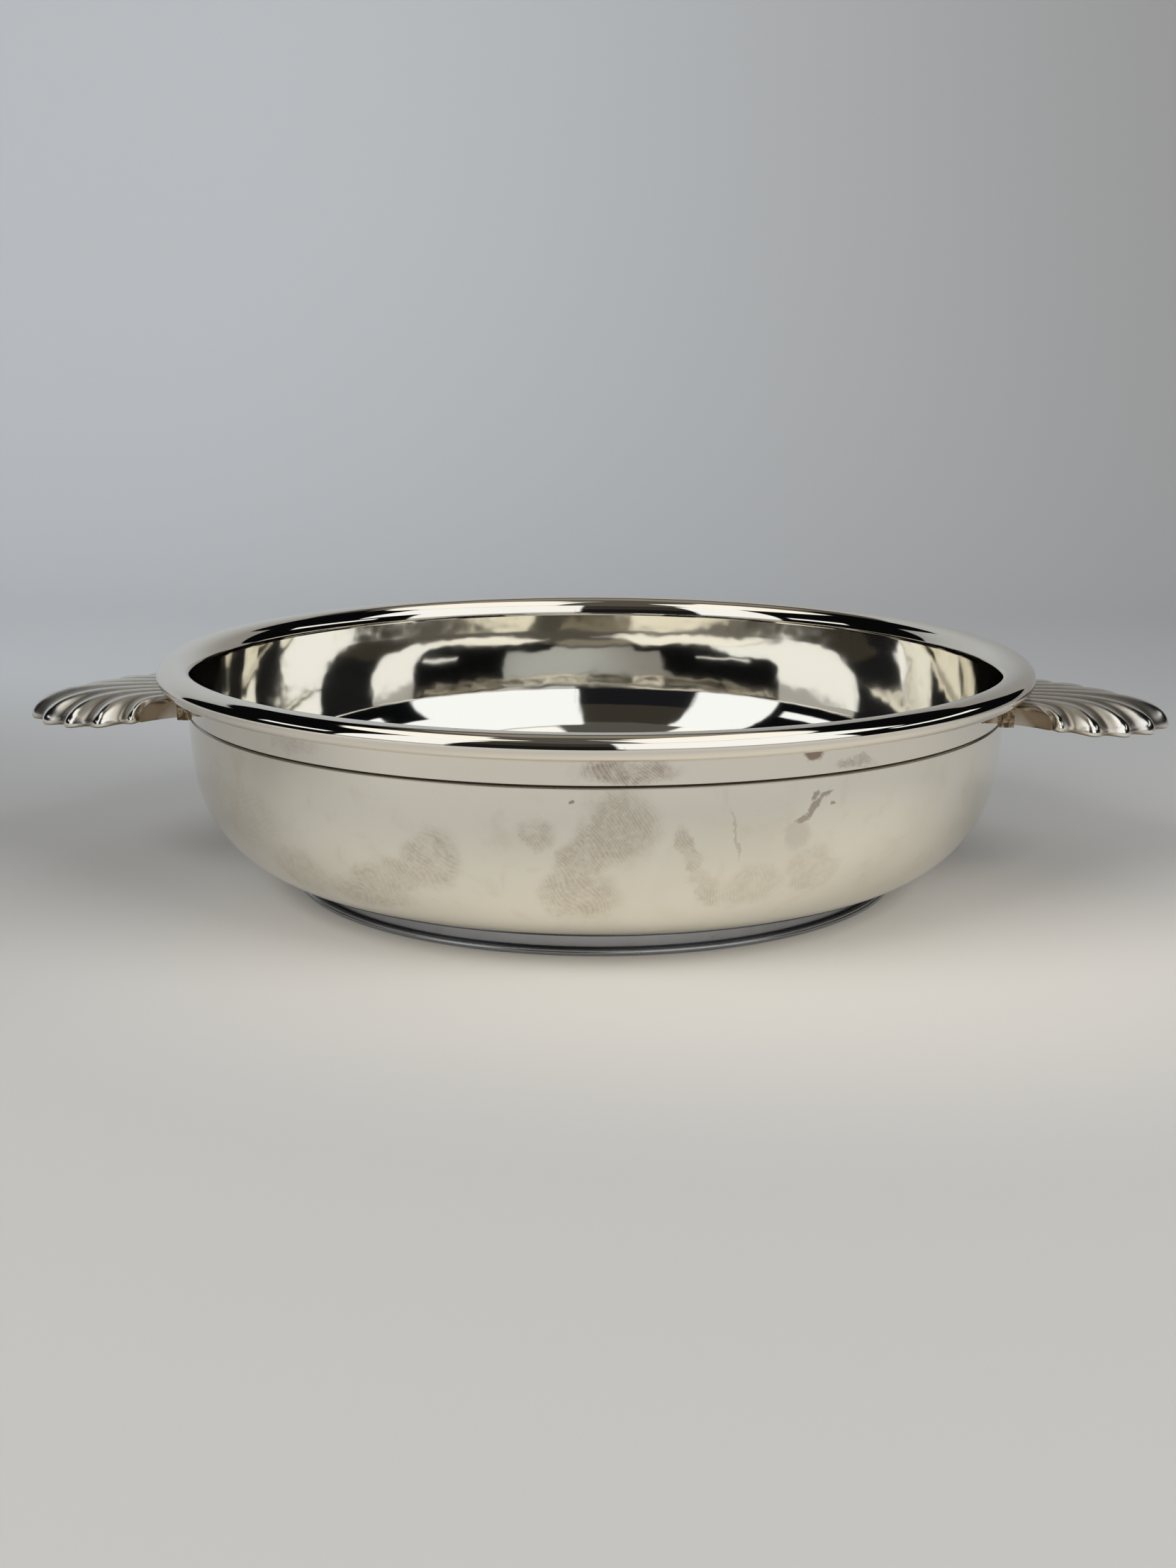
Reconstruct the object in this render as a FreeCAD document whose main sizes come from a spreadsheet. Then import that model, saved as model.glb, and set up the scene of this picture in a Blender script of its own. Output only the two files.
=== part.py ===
import FreeCAD, Part
import math
import os
import Sketcher

# Round footed serving bowl of silver plated sheet with two cast scallop shell handles.
# Millimetres, +Z up. The origin is on the table, on the bowl's axis. The handles lie on +X and -X.
# Pieces: a spun body whose upper edge is swaged in to a neck, a turned collar that ends in an oval
# roll and sits over that neck, a turned foot ring, and the solder that joins them to each other.

SIZES = [
    # Body
    ("body_radius", 98.0, "outer radius of the body at the seam"),
    ("wall_sweep", 95.0, "radius of the upright stretch of the wall, seen in section"),
    ("corner_sweep", 27.0, "radius of the turn from wall to bottom, seen in section"),
    ("base_lift", 4.6, "height of the flat bottom over the table"),
    ("shell_wall", 1.0, "thickness of the spun sheet"),
    ("shoulder_step", 0.5, "how far the neck is swaged in"),
    ("shoulder_round", 0.15, "rounding of the shoulder"),
    ("seam_height", 42.9, "lower edge of the collar"),
    ("seam_relief", 0.1, "open line between shoulder and collar"),
    # Collar and roll
    ("roll_reach", 7.0, "how far the roll stands out past the band"),
    ("band_height", 6.0, "from the seam to the roll's underside"),
    ("roll_height", 5.3, "height of the roll"),
    ("nose_radius", 2.4, "outer rounding of the roll"),
    ("cove_radius", 0.8, "hollow corner between band and roll"),
    ("seat_rise", 0.3, "step that rests on the neck's edge, over the roll's underside"),
    ("seat_gap", 0.05, "solder film between soldered pieces"),
    ("edge_round", 0.15, "broken edge of the collar"),
    # Foot
    ("foot_outset", 2.0, "how far the foot's wall stands out past the start of the corner"),
    ("foot_wall", 1.3, "thickness of the foot's wall"),
    ("bead_height", 1.4, "height of the round bead at the table"),
    ("bead_reach", 1.7, "how far the bead stands out of the foot's wall"),
    ("groove_depth", 0.25, "turned groove over the bead"),
    ("groove_height", 0.3, "height of that groove"),
    ("solder_leg", 0.8, "leg of the solder inside the foot"),
    # Shell handle
    ("handle_length", 42.3, "from the band to the handle's tip"),
    ("fan_distance", 7.0, "from the band to where the ribs' ends spread from"),
    ("handle_half_width", 27.0, "half of the shell's greatest width"),
    ("ear_taper", 4.7, "how much narrower each side of the shell is at the collar"),
    ("root_rise", 2.6, "top of the shell at the collar, over the seam"),
    ("root_depth", 4.5, "depth of the shell at the collar"),
    ("tip_fall", 4.8, "how far the underside falls from the collar to the tip"),
    ("lip_nose", 0.8, "height of the rounded lip under its widest line"),
    ("lip_land", 0.7, "how far the lip turns in underneath"),
    ("root_relief", 0.5, "depth of the flutes at the collar"),
    ("lip_relief", 3.1, "depth of the flutes near the lip"),
    ("lobe_reach", 2.4, "how far a rib's end stands out past the flutes beside it"),
    ("hollow_depth", 2.6, "depth of the hollow beneath the casting"),
    ("root_block", 3.0, "solid metal of the casting at the collar and beside the hollow"),
    ("bead_leg", 0.6, "leg of the solder beneath a handle's root"),
    ("bead_run", 2.6, "how far that solder runs out along the ears"),
]

RIBS_EACH_SIDE = 4
RIBS_PER_EAR = 1.5
RIBS_TO_EDGE = RIBS_EACH_SIDE + RIBS_PER_EAR
ROWS_PER_RIB = 6
CURVE_POWER = 3

# Ends of the ribs from the middle one outwards, then the ear's ridge and the ear's edge.
# Along X as shares of the way from the fan's centre to the tip, along Y of the half width.
LIP_STATIONS = (0, 1, 2, 3, 4, 5, RIBS_TO_EDGE)
LIP_X_SHARES = (1.0, 0.8, 0.56, 0.313, 0.085, 0.042, 0.01)
LIP_Y_SHARES = (0.0, 0.508, 0.827, 1.0, 0.977, 0.925, 0.872)

# Places along a rib at which its top is set out, closer together towards the lip.
TOP_SHARES = (0.0, 0.14, 0.3, 0.45, 0.6, 0.73, 0.83, 0.91, 0.965, 1.0)
TURN_SHARES = (0.5, 1.0)
DOME_POWER = 2.4
RIB_POWER = 1.0

# How far along a rib's plan line it turns outwards, for the middle rib and for the last ones.
BEND_SHARES = (0.66, 0.95)

# The hollow beneath: heights as shares of its depth, and how far its outline is drawn in there.
HOLLOW_STEP_SHARES = ((-0.4, 0.12), (0.45, 0.16), (1.0, 0.34))

doc = FreeCAD.newDocument("shell_handled_bowl")
sheet = doc.addObject("Spreadsheet::Sheet", "sizes")
for row, (alias, amount, note) in enumerate(SIZES, start=1):
    sheet.set(f"A{row}", str(amount))
    sheet.set(f"B{row}", note)
    sheet.setAlias(f"A{row}", alias)
doc.recompute()


def size(alias):
    return float(sheet.get(alias))


def bound(text):
    """The expression with each name of the sheet turned into a reference to its cell."""
    words = {alias for alias, _, _ in SIZES}
    out = []
    word = ""
    for letter in text + " ":
        if letter.isalpha() or letter == "_":
            word += letter
            continue
        out.append("sizes." + word if word in words else word)
        word = ""
        out.append(letter)
    return "".join(out).strip()


def worth(text):
    """What an expression of the sheet's names comes to now."""
    value = sheet.evalExpression(bound(text))
    return float(getattr(value, "Value", value))


# Heights and radii that more than one piece takes from the sizes
SHOULDER = "(seam_height - seam_relief - shoulder_step)"
ROLL_UNDERSIDE = "(seam_height + band_height)"
SEAT_HEIGHT = f"({ROLL_UNDERSIDE} + seat_rise)"
RIM_HEIGHT = f"({ROLL_UNDERSIDE} + roll_height)"
ROOT_TOP = "(seam_height + root_rise)"
ROOT_BOTTOM = f"({ROOT_TOP} - root_depth)"
HANDLE_REACH = "(body_radius + handle_length)"
FAN_CENTRE = "(body_radius + fan_distance)"
ROOT_HALF_WIDTH = "(handle_half_width - ear_taper)"

# The corner's circle touches the flat bottom and, from inside, the wall's circle.
WALL_X = "(body_radius - wall_sweep)"
CORNER_FALL = f"({SHOULDER} - base_lift - corner_sweep)"
CORNER_SPAN = f"sqrt((wall_sweep - corner_sweep) ^ 2 - {CORNER_FALL} ^ 2)"
CORNER_X = f"({WALL_X} + {CORNER_SPAN})"
FOOT_RADIUS = f"({CORNER_X} + foot_outset)"


class Profile:
    """A closed outline in the XZ plane, to be turned round Z. Its corners are set by expressions."""

    def __init__(self, name):
        self.body = doc.addObject("PartDesign::Body", name)
        self.body.Label = name
        self.sketch = self.body.newObject("Sketcher::SketchObject", name + "_profile")
        planes = self.body.Origin.OriginFeatures
        upright = [plane for plane in planes if plane.Role == "XZ_Plane"][0]
        self.sketch.AttachmentSupport = [(upright, "")]
        self.sketch.MapMode = "FlatFace"
        self.name = name

    def corner(self, radius, height):
        """A corner of the outline, as two expressions and their present worth."""
        place = FreeCAD.Vector(worth(radius), worth(height), 0)
        return (radius, height, place)

    def bind(self, constraint, text):
        index = self.sketch.addConstraint(constraint)
        self.sketch.setExpression(f"Constraints[{index}]", bound(text))

    def pin(self, edge, point, corner):
        """Fix one end of an edge at a corner."""
        radius, height, place = corner
        self.bind(Sketcher.Constraint("DistanceX", -1, 1, edge, point, place.x), radius)
        if place.y == 0:
            self.sketch.addConstraint(Sketcher.Constraint("PointOnObject", edge, point, -1))
        else:
            self.bind(Sketcher.Constraint("DistanceY", -1, 1, edge, point, place.y), height)

    def outline(self, steps):
        """Lines and arcs from corner to corner. An arc has a radius, and bulge says which way."""
        ends = []
        for index, (start, radius, bulge) in enumerate(steps):
            finish = steps[(index + 1) % len(steps)][0]
            if radius is None:
                edge = self.sketch.addGeometry(Part.LineSegment(start[2], finish[2]))
                first, last = 1, 2
            else:
                edge, first, last = self.arc(start[2], finish[2], radius, bulge)
            ends.append((edge, first, last, start))
        for index, (edge, first, last, start) in enumerate(ends):
            following = ends[(index + 1) % len(ends)]
            join = Sketcher.Constraint("Coincident", edge, last, following[0], following[1])
            self.sketch.addConstraint(join)
            self.pin(edge, first, start)

    def arc(self, start, finish, radius, bulge):
        """The shorter arc between two corners. It bulges to the right of the way for 1, left for -1."""
        reach = worth(radius)
        chord = finish - start
        middle = (start + finish) * 0.5
        square = reach * reach - chord.Length * chord.Length * 0.25
        side = FreeCAD.Vector(-chord.y, chord.x, 0).normalize() * bulge
        centre = middle + side * math.sqrt(max(square, 0))
        begin = math.atan2(start.y - centre.y, start.x - centre.x)
        close = math.atan2(finish.y - centre.y, finish.x - centre.x)
        circle = Part.Circle(centre, FreeCAD.Vector(0, 0, 1), reach)
        if bulge > 0:
            edge = self.sketch.addGeometry(Part.ArcOfCircle(circle, begin, close))
            first, last = 1, 2
        else:
            edge = self.sketch.addGeometry(Part.ArcOfCircle(circle, close, begin))
            first, last = 2, 1
        self.bind(Sketcher.Constraint("Radius", edge, reach), radius)
        return edge, first, last

    def turn(self):
        """Turn the outline once round the bowl's axis."""
        ring = self.body.newObject("PartDesign::Revolution", self.name + "_turned")
        ring.Profile = self.sketch
        ring.ReferenceAxis = (self.sketch, ["V_Axis"])
        ring.Angle = 360
        doc.recompute()
        return ring

    def ring_edges(self, shape, radius, height):
        """Names of the circular edges at a radius and a height."""
        found = []
        for index, edge in enumerate(shape.Edges, start=1):
            if not hasattr(edge.Curve, "Radius"):
                continue
            off = abs(edge.Curve.Radius - worth(radius))
            off += abs(edge.Curve.Center.z - worth(height))
            if off < size("seat_gap"):
                found.append(f"Edge{index}")
        return found

    def soften(self, feature, places, radius):
        """Round the edges at the given places."""
        edges = []
        for place in places:
            edges += self.ring_edges(feature.Shape, *place)
        fillet = self.body.newObject("PartDesign::Fillet", self.name + "_softened")
        fillet.Base = (feature, edges)
        fillet.setExpression("Radius", bound(radius))
        doc.recompute()
        return fillet


def spun_body():
    """The bowl's shell: flat bottom, round corner, nearly upright wall, shoulder and neck."""
    profile = Profile("bowl_body")
    lean = f"({CORNER_SPAN} / (wall_sweep - corner_sweep))"
    fall = f"({CORNER_FALL} / (wall_sweep - corner_sweep))"
    inner_sweep = "(wall_sweep - shell_wall)"
    mitre = "(shell_wall * (sqrt(2) - 1))"
    inner_top = f"({SHOULDER} - {mitre})"
    neck = "(body_radius - shoulder_step)"
    axis_bottom = profile.corner("0", "base_lift")
    bottom_edge = profile.corner(CORNER_X, "base_lift")
    wall_foot = profile.corner(f"{WALL_X} + {lean} * wall_sweep", f"{SHOULDER} - {fall} * wall_sweep")
    wall_head = profile.corner("body_radius", SHOULDER)
    neck_foot = profile.corner(neck, f"{SHOULDER} + shoulder_step")
    neck_head = profile.corner(neck, f"{SEAT_HEIGHT} - seat_gap")
    neck_inside = profile.corner(f"{neck} - shell_wall", f"{SEAT_HEIGHT} - seat_gap")
    step_head = profile.corner(f"{neck} - shell_wall", f"{inner_top} + shoulder_step")
    step_foot = profile.corner(f"{WALL_X} + sqrt({inner_sweep} ^ 2 - {mitre} ^ 2)", inner_top)
    wall_inside = profile.corner(f"{WALL_X} + {lean} * {inner_sweep}",
                                 f"{SHOULDER} - {fall} * {inner_sweep}")
    floor_edge = profile.corner(CORNER_X, "base_lift + shell_wall")
    floor_centre = profile.corner("0", "base_lift + shell_wall")
    profile.outline([
        (axis_bottom, None, 0),
        (bottom_edge, "corner_sweep", 1),
        (wall_foot, "wall_sweep", 1),
        (wall_head, None, 0),
        (neck_foot, None, 0),
        (neck_head, None, 0),
        (neck_inside, None, 0),
        (step_head, None, 0),
        (step_foot, inner_sweep, -1),
        (wall_inside, "corner_sweep - shell_wall", -1),
        (floor_edge, None, 0),
        (floor_centre, None, 0),
    ])
    turned = profile.turn()
    profile.soften(turned, [("body_radius", SHOULDER)], "shoulder_round")
    return profile.body


def turned_collar():
    """The collar: a band over the neck, then an oval roll that rests on the neck's edge."""
    profile = Profile("rim_collar")
    inside = "(body_radius - shoulder_step - shell_wall)"
    bore = "(body_radius - shoulder_step + seat_gap)"
    # The crown's circle touches the upright inner face, the top and, from outside, the nose.
    nose_x = "(body_radius + roll_reach - nose_radius)"
    nose_y = f"({ROLL_UNDERSIDE} + nose_radius)"
    span = f"({nose_x} - {inside})"
    drop = "(roll_height - nose_radius)"
    half = f"({span} + {drop} - nose_radius)"
    crown = f"({half} - sqrt({half} ^ 2 - {span} ^ 2 - {drop} ^ 2 + nose_radius ^ 2))"
    crown_x = f"({inside} + {crown})"
    crown_y = f"({RIM_HEIGHT} - {crown})"
    reach = f"({crown} / ({crown} - nose_radius))"
    touch_x = f"{crown_x} + ({nose_x} - {crown_x}) * {reach}"
    touch_y = f"{crown_y} + ({nose_y} - {crown_y}) * {reach}"
    band_low_in = profile.corner(bore, "seam_height")
    band_low_out = profile.corner("body_radius", "seam_height")
    cove_low = profile.corner("body_radius", f"{ROLL_UNDERSIDE} - cove_radius")
    cove_high = profile.corner("body_radius + cove_radius", ROLL_UNDERSIDE)
    nose_low = profile.corner(nose_x, ROLL_UNDERSIDE)
    nose_high = profile.corner(touch_x, touch_y)
    crown_top = profile.corner(crown_x, RIM_HEIGHT)
    crown_low = profile.corner(inside, crown_y)
    seat_in = profile.corner(inside, SEAT_HEIGHT)
    seat_out = profile.corner(bore, SEAT_HEIGHT)
    profile.outline([
        (band_low_in, None, 0),
        (band_low_out, None, 0),
        (cove_low, "cove_radius", -1),
        (cove_high, None, 0),
        (nose_low, "nose_radius", 1),
        (nose_high, crown, 1),
        (crown_top, crown, 1),
        (crown_low, None, 0),
        (seat_in, None, 0),
        (seat_out, None, 0),
    ])
    turned = profile.turn()
    profile.soften(turned, [("body_radius", "seam_height")], "edge_round")
    return profile.body


def turned_foot():
    """The foot: a low wall with a round bead at the table and a groove over the bead."""
    profile = Profile("foot_ring")
    bore = f"({FOOT_RADIUS} - foot_wall)"
    bead_x = f"({FOOT_RADIUS} + bead_reach - bead_height / 2)"
    groove_x = f"({FOOT_RADIUS} - groove_depth)"
    groove_top = "(bead_height + groove_height)"
    top = "(base_lift - seat_gap)"
    profile.outline([
        (profile.corner(bore, "0"), None, 0),
        (profile.corner(bead_x, "0"), "bead_height / 2", 1),
        (profile.corner(f"{bead_x} + bead_height / 2", "bead_height / 2"), "bead_height / 2", 1),
        (profile.corner(bead_x, "bead_height"), None, 0),
        (profile.corner(groove_x, "bead_height"), None, 0),
        (profile.corner(groove_x, groove_top), None, 0),
        (profile.corner(FOOT_RADIUS, groove_top), None, 0),
        (profile.corner(FOOT_RADIUS, top), None, 0),
        (profile.corner(bore, top), None, 0),
    ])
    profile.turn()
    return profile.body


def foot_fillet():
    """The solder inside the foot, in the corner between its wall and the bowl's bottom."""
    profile = Profile("foot_solder")
    edge = f"({FOOT_RADIUS} - foot_wall - seat_gap)"
    top = "(base_lift - seat_gap)"
    profile.outline([
        (profile.corner(edge, top), None, 0),
        (profile.corner(f"{edge} - solder_leg", top), None, 0),
        (profile.corner(edge, f"{top} - solder_leg"), None, 0),
    ])
    profile.turn()
    return profile.body


def lip_curve():
    """The line through the ribs' ends, with one unit of its parameter from rib to rib."""
    stations = [-s for s in reversed(LIP_STATIONS[1:])] + list(LIP_STATIONS)
    places = []
    for station in stations:
        index = LIP_STATIONS.index(abs(station))
        side = math.copysign(1, station)
        past = (worth(HANDLE_REACH) - worth(FAN_CENTRE)) * LIP_X_SHARES[index]
        across = side * size("handle_half_width") * LIP_Y_SHARES[index]
        places.append(FreeCAD.Vector(worth(FAN_CENTRE) + past, across, 0))
    curve = Part.BSplineCurve()
    curve.interpolate(Points=places, Parameters=stations)
    return curve


def rib_wave(station):
    """One on a rib's crest and zero in the middle of a flute. Ribs are narrower than flutes."""
    return ((1 + math.cos(2 * math.pi * station)) / 2) ** RIB_POWER


def ease(low, high, place):
    """Zero up to low, one from high on, and a smooth rise between them."""
    way = min(max((place - low) / (high - low), 0), 1)
    return way * way * (3 - 2 * way)


def rib_line(station, lip):
    """A rib's plan line: straight out of the collar, then bending outwards to its end."""
    bore = size("body_radius") + size("seat_gap")
    across = worth(ROOT_HALF_WIDTH) * station / RIBS_TO_EDGE
    start = FreeCAD.Vector(math.sqrt(bore ** 2 - across ** 2), across, 0)
    end = lip.value(station)
    outer = ease(0, RIBS_EACH_SIDE, abs(station))
    bend_share = BEND_SHARES[0] * (1 - outer) + BEND_SHARES[1] * outer
    # The ear's edge is straight, so that its side face is flat.
    straight = ease(RIBS_EACH_SIDE, RIBS_TO_EDGE, abs(station))
    bend = start + FreeCAD.Vector((end.x - start.x) * bend_share, 0, 0)
    bend = bend * (1 - straight) + (start + end) * 0.5 * straight
    outwards = (end - bend).normalize()
    end = end - outwards * (size("lobe_reach") * (1 - rib_wave(station)))
    return start, bend, end


def along(line, share):
    """The place at a share of a rib's plan line."""
    start, bend, end = line
    return start * (1 - share) ** 2 + bend * (2 * share * (1 - share)) + end * share ** 2


def underside(place, lift=0.0):
    """The place moved to the underside's plane, which falls from the collar to the tip."""
    slope = size("tip_fall") / size("handle_length")
    height = worth(ROOT_BOTTOM) - slope * (place.x - size("body_radius"))
    return FreeCAD.Vector(place.x, place.y, height + lift)


def shell_row(station, lip):
    """Points along one rib, from its top at the collar over the lip to the underside's edge."""
    line = rib_line(station, lip)
    nose = underside(line[2], size("lip_nose")).z
    row = []
    for share in TOP_SHARES:
        relief = size("root_relief") + (size("lip_relief") - size("root_relief")) * share ** 2
        rise = worth(ROOT_TOP) - nose - relief * (1 - rib_wave(station))
        place = along(line, share)
        place.z = nose + rise * math.sqrt(1 - share ** DOME_POWER)
        row.append(place)
    # The lip turns in underneath by a quarter round.
    inwards = (line[1] - line[2]).normalize()
    for share in TURN_SHARES:
        angle = share * math.pi / 2
        place = line[2] + inwards * (size("lip_land") * (1 - math.cos(angle)))
        edge = underside(place)
        place.z = edge.z + (nose - edge.z) * (1 - math.sin(angle))
        row.append(place)
    return row


def even_knots(number):
    """Evenly spaced knots and their counts for a cubic run over a number of points."""
    spans = number - CURVE_POWER
    knots = [index / spans for index in range(spans + 1)]
    counts = [CURVE_POWER + 1] + [1] * (spans - 1) + [CURVE_POWER + 1]
    return knots, counts


def draped_surface(rows):
    """A smooth cubic surface drawn over a net of points, which it follows closely."""
    surface = Part.BSplineSurface()
    u_knots, u_counts = even_knots(len(rows))
    v_knots, v_counts = even_knots(len(rows[0]))
    surface.buildFromPolesMultsKnots(rows, u_counts, v_counts, u_knots, v_knots,
                                     False, False, CURVE_POWER, CURVE_POWER)
    return surface


def hollow_wire(lip, lift, inset_share):
    """An outline of the hollow, parallel to the underside, drawn in towards the shell's middle."""
    middle = FreeCAD.Vector(worth(FAN_CENTRE), 0, 0)
    root = FreeCAD.Vector(size("body_radius") + size("root_block"), 0, 0)
    root.y = worth(ROOT_HALF_WIDTH) * (1 - inset_share) - size("root_block")
    places = [FreeCAD.Vector(root.x, -root.y, 0)]
    for index in range(2 * RIBS_EACH_SIDE):
        place = lip.value(index + 0.5 - RIBS_EACH_SIDE)
        places.append(place + (middle - place) * inset_share)
    places.append(root)
    curve = Part.BSplineCurve()
    curve.interpolate([underside(place, lift) for place in places])
    edge = curve.toShape()
    ends = [edge.valueAt(edge.LastParameter), edge.valueAt(edge.FirstParameter)]
    return Part.Wire([edge, Part.makeLine(*ends)])


def bordered_face(edges):
    """A flat face inside edges given in any order."""
    return Part.Face(Part.Wire(Part.sortEdges(edges)[0]))


def shell_casting():
    """One scallop shell on the +X side: a fluted skin over a flat underside with a hollow."""
    lip = lip_curve()
    steps = int(2 * RIBS_TO_EDGE * ROWS_PER_RIB)
    rows = [shell_row(index / ROWS_PER_RIB - RIBS_TO_EDGE, lip) for index in range(steps + 1)]
    surface = draped_surface(rows)
    u_first, u_last, _, v_last = surface.bounds()
    lip_edge = surface.vIso(v_last).toShape()
    low_rows = [[row[0], underside(row[0])] for row in rows]
    root_surface = Part.BSplineSurface()
    knots, counts = even_knots(len(rows))
    root_surface.buildFromPolesMultsKnots(low_rows, counts, [2, 2], knots, [0, 1],
                                          False, False, CURVE_POWER, 1)
    low_root = root_surface.vIso(1).toShape()
    faces = [surface.toShape(), root_surface.toShape()]
    borders = []
    for row, u in ((rows[0], u_first), (rows[-1], u_last)):
        upright = Part.makeLine(row[0], underside(row[0]))
        border = Part.makeLine(underside(row[0]), row[-1])
        borders.append(border)
        faces.append(bordered_face([surface.uIso(u).toShape(), upright, border]))
    faces.append(bordered_face([lip_edge, low_root] + borders))
    shell = Part.makeShell(faces)
    shell.sewShape()
    solid = Part.makeSolid(shell)
    if solid.Volume < 0:
        solid.reverse()
    wires = []
    for lift_share, inset_share in HOLLOW_STEP_SHARES:
        wires.append(hollow_wire(lip, lift_share * size("hollow_depth"), inset_share))
    return solid.cut(Part.makeLoft(wires, True, False)).Solids[0]


def root_fillet():
    """The solder round a handle's root: a bead beneath it and one up each side."""
    gap = size("seat_gap")
    leg = size("bead_leg")
    inner = size("body_radius") + gap
    start, _, end = rib_line(RIBS_TO_EDGE, lip_curve())
    outwards = (end - start).normalize()
    beside = FreeCAD.Vector(-outwards.y, outwards.x, 0)
    low = worth(ROOT_BOTTOM) - gap - leg
    high = underside(start).z
    section = Part.makePolygon([
        FreeCAD.Vector(inner, 0, low),
        FreeCAD.Vector(inner, 0, high),
        FreeCAD.Vector(inner + high - low, 0, high),
        FreeCAD.Vector(inner, 0, low),
    ])
    # It reaches past the ears, so that the beads beside them stand on it.
    swing = math.degrees(math.asin((start.y + leg / 2) / inner))
    axis = FreeCAD.Vector(0, 0, 1)
    bead = Part.Face(section).revolve(FreeCAD.Vector(0, 0, 0), axis, 2 * swing)
    bead.rotate(FreeCAD.Vector(0, 0, 0), axis, -swing)
    # The bead's top follows the casting's sloping underside.
    far = FreeCAD.Vector(worth(HANDLE_REACH), 0, 0)
    near = FreeCAD.Vector(0, 0, 0)
    above = Part.makePolygon([
        underside(near, -gap),
        underside(far, -gap),
        underside(far, size("root_depth")),
        underside(near, size("root_depth")),
        underside(near, -gap),
    ])
    across = FreeCAD.Vector(0, 2 * size("handle_half_width"), 0)
    bead = bead.cut(Part.Face(above).extrude(across).translate(across * -0.5))
    tall = worth(ROOT_TOP) - size("root_relief") - low
    for side in (1, -1):
        corner = start + beside * gap
        beyond = FreeCAD.Vector(0, start.y + leg, 0)
        beyond.x = math.sqrt(inner ** 2 - beyond.y ** 2)
        plan = []
        for place in (corner, corner + outwards * size("bead_run"), beyond, corner):
            plan.append(FreeCAD.Vector(place.x, side * place.y, low))
        bead = bead.fuse(Part.Face(Part.makePolygon(plan)).extrude(axis * tall))
    return bead.cut(Part.makeCylinder(inner, worth(RIM_HEIGHT))).Solids[0]


def place_pair(name, shape):
    """The same piece on both sides of the bowl, the left one turned half way round."""
    made = []
    for side, angle in (("right", 0), ("left", 180)):
        piece = doc.addObject("Part::Feature", f"{side}_{name}")
        piece.Label = f"{side}_{name}"
        piece.Shape = shape
        piece.Placement = FreeCAD.Placement(FreeCAD.Vector(0, 0, 0), FreeCAD.Vector(0, 0, 1), angle)
        made.append(piece)
    return made


def write(pieces):
    """Check every object and every piece, then write one file for each piece."""
    doc.recompute()
    for item in doc.Objects:
        if "Invalid" in item.State or "Error" in item.State:
            raise RuntimeError(f"{item.Label} failed: {item.State}")
    os.makedirs("parts", exist_ok=True)
    for piece in pieces:
        shape = piece.Shape
        if shape.isNull() or not shape.isValid():
            raise RuntimeError(f"{piece.Label} has no valid shape")
        shape.exportStep(f"parts/{piece.Label}.step")
        box = shape.BoundBox
        print(piece.Label, len(shape.Solids), "solid,", round(shape.Volume), "mm3, X",
              round(box.XMin, 1), round(box.XMax, 1), "Y", round(box.YMin, 1), round(box.YMax, 1),
              "Z", round(box.ZMin, 2), round(box.ZMax, 2))


pieces = [spun_body(), turned_collar(), turned_foot(), foot_fillet()]
pieces += place_pair("shell_handle", shell_casting())
pieces += place_pair("handle_solder", root_fillet())
write(pieces)
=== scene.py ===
import math

import bmesh
import bpy
from mathutils import Matrix, Vector


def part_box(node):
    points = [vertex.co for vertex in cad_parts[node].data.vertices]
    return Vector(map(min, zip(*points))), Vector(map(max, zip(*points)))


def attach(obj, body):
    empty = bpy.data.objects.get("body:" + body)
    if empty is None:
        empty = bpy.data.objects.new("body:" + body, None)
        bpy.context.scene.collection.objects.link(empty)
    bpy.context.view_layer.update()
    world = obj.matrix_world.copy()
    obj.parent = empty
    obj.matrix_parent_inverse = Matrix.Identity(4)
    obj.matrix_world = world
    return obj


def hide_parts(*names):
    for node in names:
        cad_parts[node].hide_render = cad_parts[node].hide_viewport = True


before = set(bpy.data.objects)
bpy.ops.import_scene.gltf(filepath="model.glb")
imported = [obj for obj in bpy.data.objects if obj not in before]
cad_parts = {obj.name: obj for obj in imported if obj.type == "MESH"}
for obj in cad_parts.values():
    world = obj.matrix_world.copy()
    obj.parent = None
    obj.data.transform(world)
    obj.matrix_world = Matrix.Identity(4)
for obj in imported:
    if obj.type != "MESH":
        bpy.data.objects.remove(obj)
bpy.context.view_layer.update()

# Silver plated bowl with cast shell handles on a pale table. Metres, the same frame as the solids.
MM = 0.001

# Sizes that the frame's boxes give
BODY_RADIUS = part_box("bowl_body")[1].x
BASE_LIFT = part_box("bowl_body")[0].z
SEAM_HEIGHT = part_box("rim_collar")[0].z
RIM_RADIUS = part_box("rim_collar")[1].x
RIM_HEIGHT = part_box("rim_collar")[1].z
FOOT_BEAD_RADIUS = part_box("foot_ring")[1].x

# Bowl body, seen in section
WALL_SWEEP = 95 * MM
CORNER_SWEEP = 27 * MM
SHELL_WALL = 1.0 * MM
SHOULDER_STEP = 0.5 * MM
SHOULDER_ROUND = 0.15 * MM
SEAM_RELIEF = 0.1 * MM
SEAT_HEIGHT = 49.2 * MM
SEAT_GAP = 0.05 * MM

# Collar and roll, seen in section
ROLL_UNDERSIDE = 48.9 * MM
NOSE_RADIUS = 2.4 * MM
COVE_RADIUS = 0.8 * MM
EDGE_ROUND = 0.15 * MM

# Foot ring, seen in section
FOOT_WALL = 1.3 * MM
BEAD_HEIGHT = 1.4 * MM
BEAD_REACH = 1.7 * MM
GROOVE_DEPTH = 0.25 * MM
GROOVE_HEIGHT = 0.3 * MM

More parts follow.
